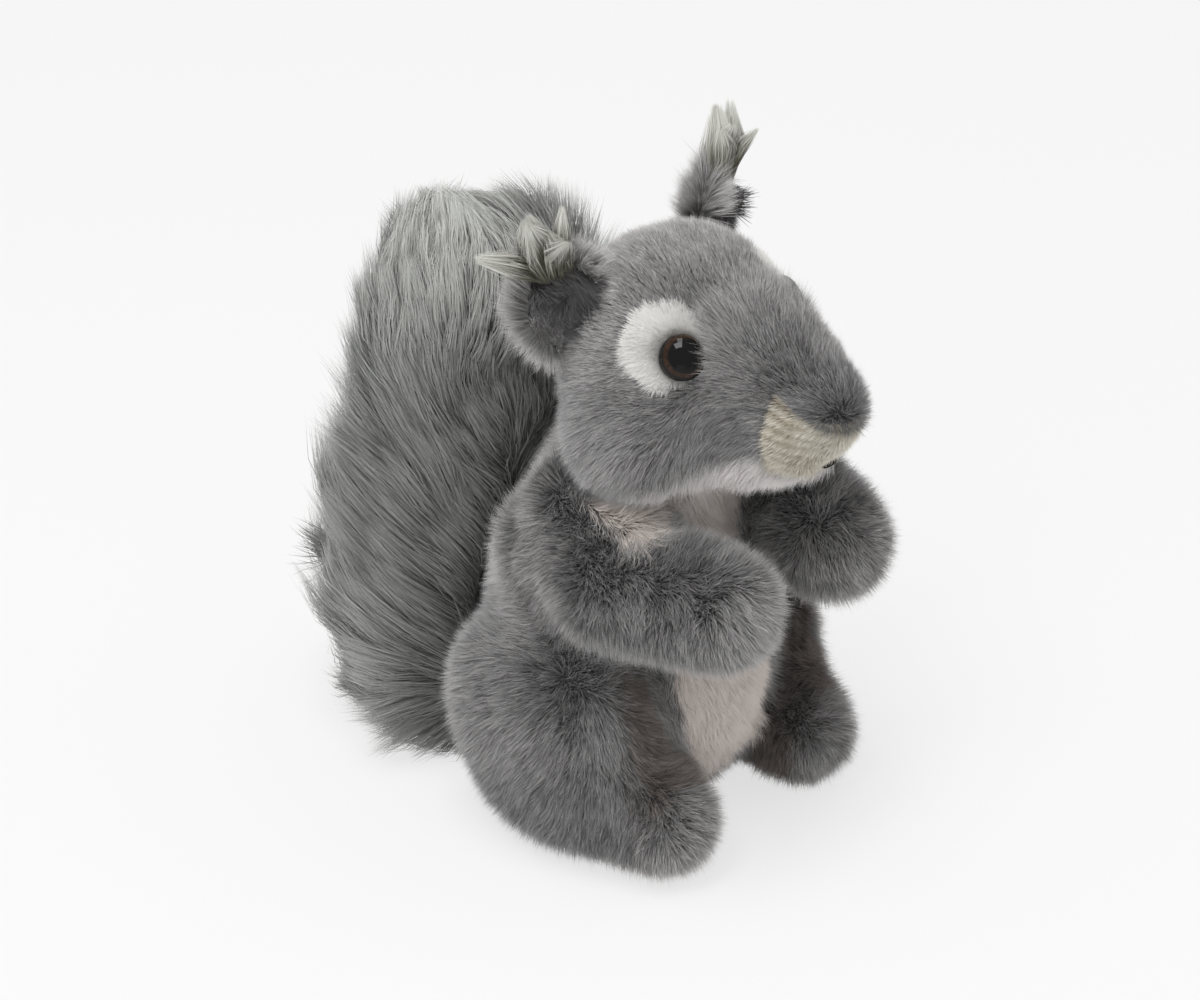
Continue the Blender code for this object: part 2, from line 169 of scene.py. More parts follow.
def drift(points, size, seed):             # slow smooth wandering, three numbers a point
    rng = np.random.default_rng(seed)
    waves = [np.sin(points @ rng.normal(size=(3, 3)) / size + rng.uniform(0, 2 * pi, 3)) for _ in range(7)]
    return sum(waves) / len(waves) ** 0.5


def skin(name, solids, depths, settings):
    # one soft skin from several CAD solids, sunk under the pile by the depth that each solid's pile needs
    bm = mergedCopy(*solids)
    for centre, radii in settings.get("fillers", []):      # stuffing that rounds off a join
        for side in (-1, 1):
            ball = bmesh.ops.create_uvsphere(bm, u_segments=20, v_segments=12, radius=1.0)["verts"]
            bmesh.ops.scale(bm, verts=ball, vec=radii)
            bmesh.ops.translate(bm, verts=ball, vec=(side * centre[0], *centre[1:]))
    piece = newPiece(name, bm)
    settle(piece, remesh=dict(mode="VOXEL", voxel_size=settings["step"]),
           smooth=dict(factor=0.5, iterations=settings["soften"]))
    trees = {}
    for solid in solids:
        bm = mergedCopy(solid)
        trees[solid] = BVHTree.FromBMesh(bm)
        bm.free()
    place = dots(piece.data, "co")
    outward = unit(dots(piece.data, "vector", "vertex_normals"))
    gap = np.array([[tree.find_nearest(p)[3] for tree in trees.values()] for p in place])
    belongs = np.exp(-gap / settings["border"])
    belongs /= belongs.sum(1, keepdims=True)
    depth = belongs @ np.array([depths.get(solid, settings["depth"]) for solid in solids])
    piece.data.vertices.foreach_set("co", (place - outward * depth[:, None]).ravel())
    settle(piece, smooth=dict(factor=0.5, iterations=2))
    for k, solid in enumerate(solids):
        mark = piece.data.attributes.new(solid, "FLOAT", "POINT")
        mark.data.foreach_set("value", belongs[:, k].astype(np.float32))
    for face in piece.data.polygons:
        face.use_smooth = True
    return piece


def readMark(mesh, name):
    found = np.zeros(len(mesh.vertices), np.float32)
    if name in mesh.attributes:
        mesh.attributes[name].data.foreach_get("value", found)
    return found.astype(float)


# pile

def bladeShape(steps):                     # one tapered blade: across, along and its faces
    bm = bmesh.new()
    bmesh.ops.create_grid(bm, x_segments=1, y_segments=steps, size=0.5)
    tips = [v for v in bm.verts if v.co.y > 0.499]
    bmesh.ops.pointmerge(bm, verts=tips, merge_co=(0.0, 0.5, 0.0))
    bm.verts.index_update()
    across = np.array([v.co.x for v in bm.verts])
    along = np.array([v.co.y + 0.5 for v in bm.verts])
    faces = [[v.index for v in face.verts] for face in bm.faces]
    bm.free()
    return across, along, faces


def rootsOn(piece, count, seed, wanted=None):
    # roots scattered evenly over a skin, more where wanted says so
    mesh = piece.data
    mesh.calc_loop_triangles()
    corners = np.empty(len(mesh.loop_triangles) * 3, np.int32)
    mesh.loop_triangles.foreach_get("vertices", corners)
    corners = corners.reshape(-1, 3)
    place = dots(mesh, "co")
    outward = unit(dots(mesh, "vector", "vertex_normals"))
    first, second, third = (place[corners[:, k]] for k in range(3))
    area = np.linalg.norm(np.cross(second - first, third - first), axis=1)
    rng = np.random.default_rng(seed)
    if wanted is not None:
        area = area * np.clip(wanted[corners].mean(1), 0, None)
    picked = rng.choice(len(corners), int(count * share), p=area / area.sum())
    mix = rng.uniform(size=(len(picked), 2))
    mix[mix.sum(1) > 1] = 1 - mix[mix.sum(1) > 1]
    mix = np.column_stack([1 - mix.sum(1), mix])
    hit = corners[picked]
    return (place[hit] * mix[..., None]).sum(1), unit((outward[hit] * mix[..., None]).sum(1))


def inside(points, trees, step=0.00002):   # which points are inside one of these closed skins
    ray = Vector((0.31, 0.22, 0.92)).normalized()
    buried = np.zeros(len(points), bool)
    for tree in trees:
        for k, p in enumerate(points):
            spot, crossed = Vector(p), 0
            while not buried[k]:
                spot = tree.ray_cast(spot, ray)[0]
                if spot is None:
                    break
                spot, crossed = spot + ray * step, crossed + 1
            buried[k] |= crossed % 2 == 1
    return buried


def treeOf(piece):
    bm = bmesh.new()
    bm.from_mesh(piece.data)
    tree = BVHTree.FromBMesh(bm)
    bm.free()
    return tree


strand = dict(ripple=0.35, reach=0.8, endWander=1.5, shortest=0.35, longest=1.6, lockCurve=1.4, twist=0.35,
              taper=0.6, footWidth=0.75, widthRandom=0.2, narrowest=0.5, widest=1.5, floor=0.0003, floorRandom=0.001,
              margin=0.02, extent=0.96, halfUv=0.0016)


def layPile(name, roots, outward, comb, looks, material, tone=0.5, stretch=1.0, over=None):
    # comb is where the pile leans, looks its settings, tone 0 dark to 1 pale, stretch a length factor
    rng = np.random.default_rng(looks["seed"])
    n = len(roots)
    across, along, faces = bladeShape(looks["steps"])
    lean = unit(comb - outward * dot(comb, outward))
    ripple = drift(roots, looks["wanderSize"] * strand["ripple"], looks["seed"] + 2)
    wander = drift(roots, looks["wanderSize"], looks["seed"] + 1) + looks["ruffle"] * ripple
    lift = looks["lift"] + looks["liftSpread"] * wander[:, :1] + rng.normal(size=(n, 1)) * looks["liftRandom"]
    lift = np.radians(lift)
    heading = unit(lean * np.cos(lift) + outward * np.sin(lift) + wander * looks["wander"]
                   + rng.normal(size=(n, 3)) * looks["scatter"])
    lift = lift - radians(looks["droop"])
    if over is not None:                   # the strand's end follows the skin round its edge
        reach = roots + heading * looks["length"] * strand["reach"]
        facing = np.array([over.find_nearest(p)[1] for p in reach])
        outward = unit(outward * (1 - looks["follow"]) + facing * looks["follow"])
        lean = unit(lean - outward * dot(lean, outward))
    ending = unit(lean * np.cos(lift) + outward * np.sin(lift) + wander * looks["wander"] * strand["endWander"]
                  + rng.normal(size=(n, 3)) * looks["scatter"])
    length = 1 + rng.normal(size=n) * looks["lengthRandom"]
    length = looks["length"] * np.clip(length, strand["shortest"], strand["longest"]) * stretch
    t = along[None, :, None]
    line = length[:, None, None] * (heading[:, None] * t + (ending - heading)[:, None] * t * t / 2) + roots[:, None]
    if looks["gather"] > 0:                # locks: a strand's end moves towards its lock's own strand
        leaders = rng.choice(n, max(1, int(n / looks["lockSize"])), replace=False)
        near = KDTree(len(leaders))
        for k, leader in enumerate(leaders):
            near.insert(roots[leader], k)
        near.balance()
        owner = leaders[[near.find(p)[1] for p in roots]]
        line = line + (line[owner] - line) * looks["gather"] * t ** strand["lockCurve"]
    sideways = unit(np.cross(heading, outward) + rng.normal(size=(n, 3)) * strand["twist"])
    foot = strand["footWidth"]
    taper = (1 - along) ** strand["taper"] * (foot + (1 - foot) * np.minimum(1, along * 3))
    width = np.clip(1 + rng.normal(size=n) * strand["widthRandom"], strand["narrowest"], strand["widest"])
    width = looks["width"] * width
    place = line + sideways[:, None] * (across * taper)[None, :, None] * width[:, None, None]
    lowest = strand["floor"] + strand["floorRandom"] * rng.uniform(size=n)[:, None]
    place[..., 2] = np.maximum(place[..., 2], lowest)      # it stands on the floor
    shade = np.clip(tone + rng.normal(size=n) * looks["toneRandom"], 0.0, 1.0)
    starts = (np.arange(n) * len(across))[:, None]
    allFaces, tones, heights = [], [], []
    for face in faces:
        allFaces += (np.array(face)[None, :] + starts).tolist()
        apart = strand["halfUv"] * np.sign(across[face])[None, :]
        tones.append((strand["margin"] + strand["extent"] * shade[:, None] + apart).ravel())
        heights.append(np.broadcast_to(along[face][None, :], (n, len(face))).ravel())
    heights = strand["margin"] + strand["extent"] * np.concatenate(heights)
    mesh = bpy.data.meshes.new(name)
    mesh.from_pydata(place.reshape(-1, 3).tolist(), [], allFaces)
    layer = mesh.uv_layers.new(name="OFBake")      # u is the strand's tone, v runs from root to tip
    layer.data.foreach_set("uv", np.column_stack([np.concatenate(tones), heights]).astype(np.float32).ravel())
    mesh.polygons.foreach_set("use_smooth", np.ones(len(mesh.polygons), bool))
    piece = bpy.data.objects.new(name, mesh)
    space.collection.objects.link(piece)
    mesh.materials.append(material)
    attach(piece, "root")
    print("pile", name, n, "strands", sum(len(f) - 2 for f in faces) * n, "triangles")


def pileFinish(name, colours):
    # dark and pale colours at the root and the tip, and where up the strand the one turns into the other; the darker
    # roots are partly the pile's own colour and partly painted shade in the pile's depth
    def paint(wire):
        tone, along, _ = wire.node("ShaderNodeUVMap", {"uv_map": "OFBake"}).axes()
        rise = along.between(colours["from"], colours["to"])
        dark = rise.blend(colours["darkRoot"], colours["darkTip"])
        pale = rise.blend(colours["paleRoot"], colours["paleTip"])
        return {"Base Color": tone.blend(dark, pale)}
    return finishOf(name, paint, **{"Roughness": 0.7, "Specular IOR Level": 0.3, "Sheen Weight": 0.12, "Sheen Roughness": 0.5})


def backingShadeFinish(name, colours, marks=()):
    # the woven backing under the pile: the ground colour, kept very dark as painted shade in the pile's depth, other
    # colours where a mark says so, and fine grain
    def paint(wire):
        at = wire.node("ShaderNodeTexCoord", out="Object")
        grain = wire.node("ShaderNodeTexNoise", sockets={"Vector": at, "Scale": 1400.0, "Detail": 3.0})
        colour = grain.between(0.35, 0.65).blend(colours["deep"], colours["ground"])
        for mark, tint in marks:
            where = wire.node("ShaderNodeAttribute", {"attribute_name": mark}, out="Fac").between(0.4, 0.6)
            colour = where.blend(colour, tint)
        bump = wire.node("ShaderNodeBump", sockets={"Strength": 0.5, "Distance": 0.0004, "Height": grain})
        return {"Base Color": colour, "Normal": bump}
    return finishOf(name, paint, **{"Roughness": 0.95, "Sheen Weight": 0.3})


# camera

shot = dict(azimuth=-50, elevation=30, distance=1.3, lens=148, aim=(-0.004, 0.015, 0.085))
turn, rise = radians(shot["azimuth"]), radians(shot["elevation"])
away = Vector((sin(turn) * cos(rise), -cos(turn) * cos(rise), sin(rise)))
camera = bpy.data.objects.new("camera", bpy.data.cameras.new("camera"))
space.collection.objects.link(camera)
camera.data.lens = shot["lens"]
camera.location = Vector(shot["aim"]) + away * shot["distance"]
camera.rotation_euler = (-away).to_track_quat("-Z", "Y").to_euler()
space.camera = camera
print("camera set")

# body skin: seat, chest, belly, arms and legs in one soft form

body = dict(step=0.0024, soften=7, border=0.0012, depth=0.0036,
            fillers=[((0.029, 0.004, 0.084), (0.0165, 0.024, 0.020)), ((0.026, -0.004, 0.092), (0.018, 0.022, 0.016)),
                     ((0.023, 0.015, 0.066), (0.0145, 0.020, 0.022)), ((0.031, 0.004, 0.073), (0.0140, 0.020, 0.019))])
bodyParts = ["torso", "belly_panel", "right_arm", "left_arm", "right_leg", "left_leg"]
bodySkin = skin("bodySkin", bodyParts, {"belly_panel": 0.0034}, body)
# the backing's dark deep and ground colours are painted shade between the strands; the belly panel's colour is its own
bodySkin.data.materials.append(backingShadeFinish(
    "bodyBackingShade", dict(deep=(0.018, 0.018, 0.019), ground=(0.035, 0.035, 0.036)), [("belly_panel", (0.50, 0.42, 0.37))]))
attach(bodySkin, "root")
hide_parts(*bodyParts)
print("body skin", len(bodySkin.data.vertices))

# head skin, with the muzzle, chin and eye patches

head = dict(step=0.0018, soften=6, border=0.0008, depth=0.0026)
headDepths = {"muzzle": 0.0004, "chin_panel": 0.0026, "right_eye_patch": 0.0024, "left_eye_patch": 0.0024}
headParts = ["head", "muzzle", "chin_panel", "right_eye_patch", "left_eye_patch"]
headSkin = skin("headSkin", headParts, headDepths, head)
# the backing's dark deep and ground colours are painted shade between the strands; the marked panels' colours are their
# own
headSkin.data.materials.append(backingShadeFinish("headBackingShade", dict(deep=(0.02, 0.02, 0.021), ground=(0.04, 0.04, 0.041)), [
    ("muzzle", (0.40, 0.36, 0.28)), ("chin_panel", (0.34, 0.31, 0.29)),
    ("right_eye_patch", (0.55, 0.53, 0.49)), ("left_eye_patch", (0.55, 0.53, 0.49))]))
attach(headSkin, "root")
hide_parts(*headParts)
print("head skin", len(headSkin.data.vertices))

# tail skin: the stuffed tail that carries the long pile

tail = dict(step=0.0026, soften=8, border=0.002, depth=0.0046)
tailSkin = skin("tailSkin", ["tail"], {}, tail)
# the backing's dark deep and ground colours are painted shade between the long strands
tailSkin.data.materials.append(backingShadeFinish("tailBackingShade", dict(deep=(0.03, 0.03, 0.028), ground=(0.06, 0.06, 0.056))))
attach(tailSkin, "root")
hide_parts("tail")
print("tail skin", len(tailSkin.data.vertices))

bodyTree, headTree, tailTree = treeOf(bodySkin), treeOf(headSkin), treeOf(tailSkin)

# grey body pile

greyPile = pileFinish("greyPile", {"from": 0.25, "to": 0.95,
                                   "darkRoot": (0.155, 0.155, 0.156), "darkTip": (0.39, 0.39, 0.393),
                                   "paleRoot": (0.29, 0.285, 0.28), "paleTip": (0.88, 0.86, 0.85)})
brownPile = pileFinish("brownPile", {"from": 0.25, "to": 0.95,
                                     "darkRoot": (0.10, 0.085, 0.075), "darkTip": (0.30, 0.265, 0.245),
                                     "paleRoot": (0.20, 0.175, 0.16), "paleTip": (0.66, 0.59, 0.55)})
shortPile = dict(steps=1, length=0.0052, lengthRandom=0.2, width=0.00023, lift=70, liftSpread=8, liftRandom=8, droop=0,
                 wander=0.13, wanderSize=0.004, ruffle=0.6, scatter=0.2, gather=0.12, lockSize=9, toneRandom=0.22)
buriedAt = 0.003                           # strands whose middle is inside another skin are left out
bodyHair = dict(whorl=(0.045, -0.006, 0.058), whorlReach=0.04, whorlMost=1.2, legLean=(0, -0.35, -0.8),
                armLean=(-0.25, -0.9, -0.45), torsoLean=(0.1, 0.25, -1.0), bib=(0.036, -0.006, 0.0980), lowest=0.0012,
                tone=0.47, cloud=0.12, cloudSize=0.018, seatShade=0.35, seatRamp=(0.034, 0.016), seatFront=-0.028,
                endPale=0.25, endReach=0.02, foldShade=0.30, foldSides=(0.044, 0.034), foldFront=(-0.036, -0.030),
                foldHeight=(0.070, 0.048), foldBack=0.01, brownFrom=0.35, brownRandom=0.4, brownSeed=24)


def mirrored(p, vector):                   # this vector at every root, and its mirror image on the left side
    return np.column_stack([vector[0] * np.sign(p[:, 0]), np.full(len(p), vector[1]), np.full(len(p), vector[2])])


def legComb(p):                            # the haunch's pile starts at a whorl and runs down to the foot
    away = p - mirrored(p, bodyHair["whorl"])
    far = np.linalg.norm(away, axis=1, keepdims=True) / bodyHair["whorlReach"]
    return unit(away) + np.array(bodyHair["legLean"]) * np.clip(far, 0, bodyHair["whorlMost"])


def armComb(p):
    return mirrored(p, bodyHair["armLean"])


def torsoComb(p):
    return mirrored(p, bodyHair["torsoLean"])


place = dots(bodySkin.data, "co")
bibSide, bibFront, bibBottom = bodyHair["bib"]             # the panel widens under the chin
bib = (place[:, 2] > bibBottom) & (place[:, 1] < bibFront) & (np.abs(place[:, 0]) < bibSide)
pale = np.maximum(readMark(bodySkin.data, "belly_panel"), np.where(bib, 1.0, 0.0))
for name, solids, comb, count, seed, ends in [("torsoPile", ["torso"], torsoComb, 90000, 21, None),
                                              ("armPile", ["right_arm", "left_arm"], armComb, 95000, 22, -0.038),
                                              ("legPile", ["right_leg", "left_leg"], legComb, 150000, 23, -0.022)]:
    wanted = sum(readMark(bodySkin.data, solid) for solid in solids)
    roots, outward = rootsOn(bodySkin, count, seed, np.where((wanted > 0.5) & (pale < 0.5), 1.0, 0.0))
    keep = ~inside(roots + outward * buriedAt, [headTree, tailTree])
    keep &= roots[:, 2] > bodyHair["lowest"]
    roots, outward = roots[keep], outward[keep]
    # painted shade: the pile is darker low down near the seat, behind the feet
    seat = ramp(roots[:, 2], *bodyHair["seatRamp"]) * (roots[:, 1] > bodyHair["seatFront"])
    cloud = drift(roots, bodyHair["cloudSize"], seed + 50)[:, 0]
    tone = bodyHair["tone"] + bodyHair["cloud"] * cloud - bodyHair["seatShade"] * seat
    if ends is not None:                   # paws and feet end paler
        tone = tone + bodyHair["endPale"] * ramp(roots[:, 1], ends, ends - bodyHair["endReach"])
    if name == "legPile":                  # painted shade, and a brownish tint, where the haunch turns in to the belly and the foot
        fold = (ramp(roots[:, 2], *bodyHair["foldHeight"]) * ramp(np.abs(roots[:, 0]), *bodyHair["foldSides"])
                * ramp(roots[:, 1], *bodyHair["foldFront"]))
        tone = tone - bodyHair["foldShade"] * fold
        chance = np.random.default_rng(bodyHair["brownSeed"]).uniform(size=len(roots))
        brown = fold * (roots[:, 1] < bodyHair["foldBack"]) > bodyHair["brownFrom"] + bodyHair["brownRandom"] * chance
        layPile("legFoldPile", roots[brown], outward[brown], comb(roots[brown]),
                {**shortPile, "seed": bodyHair["brownSeed"]}, brownPile, tone=tone[brown])
        roots, outward, tone = roots[~brown], outward[~brown], tone[~brown]
    layPile(name, roots, outward, comb(roots), {**shortPile, "seed": seed}, greyPile, tone=tone)

# pinkish cream belly and bib

bellyFinish = pileFinish("bellyCream", {"from": 0.0, "to": 0.6,
                                        "darkRoot": (0.50, 0.41, 0.35), "darkTip": (0.82, 0.74, 0.69),
                                        "paleRoot": (0.62, 0.54, 0.49), "paleTip": (0.92, 0.87, 0.83)})
bellyPile = {**shortPile, "length": 0.0048, "width": 0.0003, "lift": 40, "seed": 31}
bellyHair = dict(count=45000, lean=(0, -0.1, -1.0), bibAbove=0.095, bibTone=1.0, tone=0.6)
roots, outward = rootsOn(bodySkin, bellyHair["count"], bellyPile["seed"], np.where(pale > 0.5, 1.0, 0.0))
keep = ~inside(roots + outward * buriedAt, [headTree])
roots, outward = roots[keep], outward[keep]
layPile("bellyPile", roots, outward, np.array(bellyHair["lean"]), bellyPile, bellyFinish,
        tone=np.where(roots[:, 2] > bellyHair["bibAbove"], bellyHair["bibTone"], bellyHair["tone"]))

# head pile: grey crown and cheeks, white patches, cream muzzle, whitish chin

noseTip = np.array([0, -0.062, 0.136])
headPile = {**shortPile, "lift": 50, "width": 0.00021, "toneRandom": 0.3, "seed": 41}
headHair = dict(count=205000, cheekDown=(0, 0.1, -0.9), cheekHeight=(0.138, 0.118), cheekSide=0.02,
                short=0.64, cheekLonger=0.45, longHeight=(0.14, 0.12), longBack=(-0.045, -0.015),
                browAt=(0.013, -0.033), browReach=0.006, browFlat=1.6, browHigher=0.9, browAbove=0.145,
                tone=0.47, cloud=0.12, cloudSize=0.015, cloudSeed=42, crownLight=0.12, crownHeight=(0.15, 0.165),
                noseDark=0.25, noseDepth=(-0.052, -0.062), cheekShade=0.36, shadeHeight=(0.142, 0.130))
# the face's borders: a level, its slope, and where the slope starts
borders = dict(creamFront=(-0.0465, -0.20, 0.128), creamTop=(0.1325, 0.57, -0.067), creamBottom=0.1195,
               chinTop=(0.1255, -0.42, -0.049), chinFade=0.0035, chinSide=0.030, chinBack=-0.012,
               wobble=0.0004, wobbleSize=0.004, wobbleSeed=44, fadeSeed=45)


def headComb(p):                           # back from the nose, and down over the cheeks
    cheek = ramp(p[:, 2:], *headHair["cheekHeight"]) * ramp(np.abs(p[:, :1]), 0, headHair["cheekSide"])
    return unit(p - noseTip) + cheek * np.array(headHair["cheekDown"])


def sloped(value, level, slope, start):
    return level + slope * (value - start)


def headAreas(p):                          # where the face is cream, where it is whitish, and the rest is grey
    x, y = np.abs(p[:, 0]), p[:, 1]
    z = p[:, 2] + borders["wobble"] * drift(p, borders["wobbleSize"], borders["wobbleSeed"])[:, 0]
    cream = (y < sloped(z, *borders["creamFront"])) & (z < sloped(y, *borders["creamTop"])) & (z > borders["creamBottom"])
    low = sloped(y, *borders["chinTop"]) - z               # the whitish chin fades into the grey
    low = low + borders["chinFade"] * np.random.default_rng(borders["fadeSeed"]).uniform(-0.5, 0.5, len(p))
    chin = ~cream & (low > 0) & (x < borders["chinSide"]) & (y < borders["chinBack"])
    return cream, chin


grey = sum(readMark(headSkin.data, part) for part in ("head", "muzzle", "chin_panel"))
allRoots, allOutward = rootsOn(headSkin, headHair["count"], headPile["seed"], np.where(grey > 0.5, 1.0, 0.0))
keep = ~inside(allRoots + allOutward * buriedAt, [bodyTree, tailTree])
allRoots, allOutward = allRoots[keep], allOutward[keep]
cream, chin = headAreas(allRoots)
roots, outward = allRoots[~cream & ~chin], allOutward[~cream & ~chin]
longer = headHair["short"] + (headHair["cheekLonger"] * ramp(roots[:, 2], *headHair["longHeight"])
                              * ramp(roots[:, 1], *headHair["longBack"]))
browGap = np.hypot(np.abs(roots[:, 0]) - headHair["browAt"][0], roots[:, 1] - headHair["browAt"][1])
brow = np.clip(headHair["browFlat"] - browGap / headHair["browReach"], 0, 1) * (roots[:, 2] > headHair["browAbove"])
longer *= 1 + headHair["browHigher"] * brow                # the pile stands higher between the eyes
# painted light makes the crown paler, and painted shade makes the lower head and cheeks darker
tone = (headHair["tone"] + headHair["cloud"] * drift(roots, headHair["cloudSize"], headHair["cloudSeed"])[:, 0]
        + headHair["crownLight"] * ramp(roots[:, 2], *headHair["crownHeight"])
        - headHair["noseDark"] * ramp(roots[:, 1], *headHair["noseDepth"])
        - headHair["cheekShade"] * ramp(roots[:, 2], *headHair["shadeHeight"]))
layPile("headPile", roots, outward, headComb(roots), headPile, greyPile, tone=tone, stretch=longer)

eyeCentre = {hand: np.array(sum(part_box(hand + "_eye"), Vector()) / 2) for hand in hands}
patchPile = {**shortPile, "length": 0.0032, "lift": 32, "width": 0.0003}
patchCount, patchSeed = 14000, 51
whiteFinish = pileFinish("whitePatch", {"from": 0.0, "to": 0.6,
                                        "darkRoot": (0.78, 0.76, 0.72), "darkTip": (0.93, 0.92, 0.89),
                                        "paleRoot": (0.88, 0.87, 0.83), "paleTip": (0.97, 0.965, 0.95)})
for hand, side in hands.items():
    patch = np.where(readMark(headSkin.data, hand + "_eye_patch") > 0.7, 1.0, 0.0)
    roots, outward = rootsOn(headSkin, patchCount, patchSeed + side, patch)
    layPile(hand + "EyePatch", roots, outward, roots - eyeCentre[hand], {**patchPile, "seed": patchSeed + side},
            whiteFinish)

creamFinish = pileFinish("muzzleCream", {"from": 0.0, "to": 0.7,
                                         "darkRoot": (0.26, 0.21, 0.14), "darkTip": (0.50, 0.44, 0.33),
                                         "paleRoot": (0.52, 0.48, 0.39), "paleTip": (0.84, 0.81, 0.73)})
muzzlePile = {**shortPile, "length": 0.0022, "lift": 40, "width": 0.00026, "seed": 61}
ridges = dict(apart=0.0030, slant=0.35, wavy=1.6, wavySize=0.006, wavySeed=63, tone=0.5, toneRise=0.34, higher=0.3,
              tipPale=0.4, tipDepth=(-0.055, -0.059), lean=(0, 0.3, -0.3), stitchReach=0.0042, stitchShort=0.4)
roots, outward = allRoots[cream], allOutward[cream]
stitch = np.array(sum(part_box("mouth_stitch"), Vector()) / 2)
wavy = ridges["wavy"] * drift(roots, ridges["wavySize"], ridges["wavySeed"])[:, 0]
wave = np.sin((roots[:, 2] - ridges["slant"] * roots[:, 1]) * 2 * pi / ridges["apart"] + wavy)     # sheared in wavy ridges
atStitch = np.linalg.norm(roots - stitch, axis=1) < ridges["stitchReach"]
# the tone follows the ridges: painted light on the crests and painted shade in the troughs
layPile("muzzlePile", roots, outward, unit(roots - noseTip) + np.array(ridges["lean"]), muzzlePile, creamFinish,
        tone=ridges["tone"] + ridges["toneRise"] * wave + ridges["tipPale"] * ramp(roots[:, 1], *ridges["tipDepth"]),
        stretch=(1 + ridges["higher"] * wave) * np.where(atStitch, ridges["stitchShort"], 1.0))

chinFinish = pileFinish("chinWhite", {"from": 0.0, "to": 0.8,
                                      "darkRoot": (0.46, 0.43, 0.41), "darkTip": (0.76, 0.73, 0.72),
                                      "paleRoot": (0.58, 0.55, 0.53), "paleTip": (0.92, 0.89, 0.88)})
chinPile = {**shortPile, "lift": 35, "seed": 62}
chinLean = np.array([0, 0, -0.5])
roots, outward = allRoots[chin], allOutward[chin]
layPile("chinPile", roots, outward, unit(roots - noseTip) + chinLean, chinPile, chinFinish)

# tail pile

tailFinish = pileFinish("tailPile", {"from": 0.1, "to": 0.9,
                                     "darkRoot": (0.12, 0.12, 0.114), "darkTip": (0.30, 0.303, 0.29),
                                     "paleRoot": (0.42, 0.42, 0.40), "paleTip": (0.86, 0.87, 0.835)})
longPile = dict(steps=2, length=0.020, lengthRandom=0.2, width=0.00028, lift=19, liftSpread=6, liftRandom=5, droop=8,
                wander=0.22, wanderSize=0.016, ruffle=0.5, scatter=0.10, gather=0.5, lockSize=38, toneRandom=0.12,
                follow=0.6, seed=71)
# each table gives places up the tail, or from front to back, and the values there
tailHair = dict(count=66000, lowest=0.002, frontOf=0.045, frontShort=0.7, crown=(0.105, 0.135), crownTone=0.50,
                upward=([0.006, 0.02, 0.04, 0.06, 0.09, 0.12, 0.15], [-0.35, -0.1, 0.4, 0.8, 1.2, 1.6, 1.8]),
                backward=([0.02, 0.12, 0.15], [0.8, 0.7, 0.5]),
                stretch=([0.01, 0.03, 0.05, 0.08, 0.11, 0.15], [0.75, 1.0, 1.12, 1.05, 0.85, 0.7]),
                shadeNearBody=([0.03, 0.055, 0.10], [-0.15, 0.28, 0.50]),
                lightAndShadeUp=([0.02, 0.06, 0.10, 0.15], [-0.14, -0.16, -0.02, 0.15]), cloud=0.10, cloudSize=0.012, cloudSeed=72)
roots, outward = rootsOn(tailSkin, tailHair["count"], longPile["seed"])
keep = ~inside(roots, [bodyTree, headTree]) & (roots[:, 2] > tailHair["lowest"])
roots, outward = roots[keep], outward[keep]
height = roots[:, 2]
comb = np.column_stack([np.zeros(len(roots)), np.interp(height, *tailHair["backward"]), np.interp(height, *tailHair["upward"])])
stretch = np.interp(height, *tailHair["stretch"]) * np.where(roots[:, 1] < tailHair["frontOf"], tailHair["frontShort"], 1.0)
# painted shade darkens the tail near the body and low down, and painted light makes its top paler
crown = ramp(height, *tailHair["crown"])
tone = np.interp(roots[:, 1], *tailHair["shadeNearBody"]) * (1 - crown) + tailHair["crownTone"] * crown
tone = tone + np.interp(height, *tailHair["lightAndShadeUp"])
tone = tone + tailHair["cloud"] * drift(roots, tailHair["cloudSize"], tailHair["cloudSeed"])[:, 0]
layPile("tailFur", roots, outward, comb, longPile, tailFinish, tone=tone, stretch=stretch, over=tailTree)

# ears

ear = dict(step=0.0012, soften=3, border=0.0006, depth=0.0016, liningDepth=0.0012, count=15000, liningCount=9000,
           rim=(0.55, 0.85), inner=(0.029, 0.027), out=0.8, lean=(0, 0.1, 0.3), innerLean=(0.2, -0.7, 0.6),
           tone=0.5, rimPale=0.35, rimLonger=0.9, innerLonger=0.8, footTop=0.1535, footLean=(0.2, -0.3, 0.9),
           footTone=0.75, liningLean=(-0.5, -0.2, -0.7), seed=81, liningSeed=85, footSeed=87)
earPile = {**shortPile, "length": 0.0046, "lift": 38, "width": 0.00028, "gather": 0.35, "lockSize": 14}
earFootPile = {**shortPile, "length": 0.0060, "lift": 35, "width": 0.0003}
liningPile = {**shortPile, "length": 0.0075, "lift": 25, "width": 0.00036, "gather": 0.5}
tuft = dict(step=0.0014, soften=4, border=0.001, depth=0.0025, count=4200, core=0.72, outwards=0.004,
            footHeight=0.007, footLean=(0.4, -0.2, -0.5), fan=(0.9, 0.3, 0.9), inward=0.2, aim=(0.40, 0.05, 0.8),
            tone=0.25, toneRise=0.5, toneHeight=0.02, palest=0.8, below=0.0035, shortest=0.3,
            seed=91, footSeed=95)
tuftFootPile = {**shortPile, "length": 0.0075, "lift": 20, "width": 0.0006, "gather": 0.4}
tuftPile = {**longPile, "length": 0.0180, "width": 0.00030, "lift": 76, "liftRandom": 3, "scatter": 0.07,
            "lockSize": 330, "gather": 0.88, "wander": 0.12, "wanderSize": 0.006}


def turned(vector, side):                  # a vector for the left ear, mirrored for the right one
    return np.array([vector[0] * side, *vector[1:]])


def gapToMiddle(points, low, high):        # 0 in a box's middle, 1 at its edge, seen from the front
    off = (points - (low + high) / 2) / ((high - low) / 2)
    return np.hypot(off[:, 0], off[:, 2])


